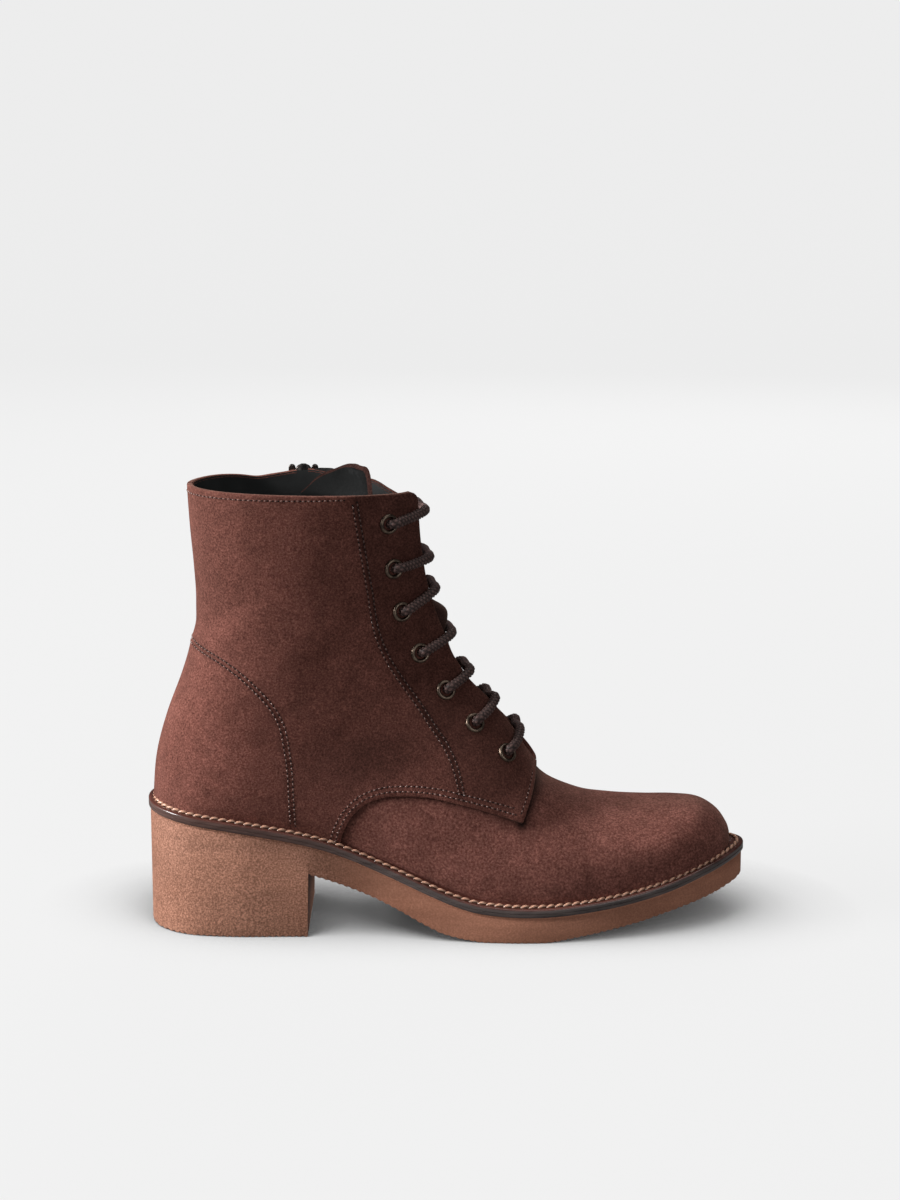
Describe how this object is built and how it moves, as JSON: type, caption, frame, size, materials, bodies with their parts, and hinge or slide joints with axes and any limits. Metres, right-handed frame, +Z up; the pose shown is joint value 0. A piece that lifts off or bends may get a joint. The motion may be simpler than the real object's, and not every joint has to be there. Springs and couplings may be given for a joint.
{
  "type": "suede ankle boot",
  "caption": "Laced suede ankle boot with a block heel, stitched welt, rubber sole and a zip on the inner side, for the right foot.",
  "frame": {"origin": "on the floor, under the middle of the boot's bounding box", "axes": "+X to the toe, -Y to the lateral side of this right boot, +Z up"},
  "size_m": [0.2568, 0.0868, 0.1976],
  "materials": {
    "suede": "napped dark brown suede",
    "rubber": "matt honey-coloured rubber with a fine stipple",
    "welt_leather": "smooth waxed leather",
    "lining": "smooth black lining leather",
    "eyelet_metal": "dark antique brass",
    "lace": "waxed round braid",
    "zip_metal": "dark burnished metal"
  },
  "bodies": {
    "boot": {"outsole": "rubber", "welt": "welt_leather", "insole": "lining", "upper": "suede", "tongue": "suede", "eyelet_lateral_1": "eyelet_metal", "eyelet_lateral_2": "eyelet_metal", "eyelet_lateral_3": "eyelet_metal", "eyelet_lateral_4": "eyelet_metal", "eyelet_lateral_5": "eyelet_metal", "eyelet_lateral_6": "eyelet_metal", "eyelet_lateral_7": "eyelet_metal", "eyelet_medial_1": "eyelet_metal", "eyelet_medial_2": "eyelet_metal", "eyelet_medial_3": "eyelet_metal", "eyelet_medial_4": "eyelet_metal", "eyelet_medial_5": "eyelet_metal", "eyelet_medial_6": "eyelet_metal", "eyelet_medial_7": "eyelet_metal", "lace_bar_1": "lace", "lace_bar_2": "lace", "lace_bar_3": "lace", "lace_bar_4": "lace", "lace_bar_5": "lace", "lace_bar_6": "lace", "lace_bar_7": "lace", "zip_chain": "zip_metal", "zip_slider": "zip_metal"},
    "pull_tab": {"zip_pull": "zip_metal"}
  },
  "joints": [
    {"name": "pull_swing", "type": "hinge", "parent": "boot", "child": "pull_tab", "pos_m": [-0.06223, 0.03377, 0.189], "axis": [1, 0, 0], "range_deg": [0, 170]}
  ]
}
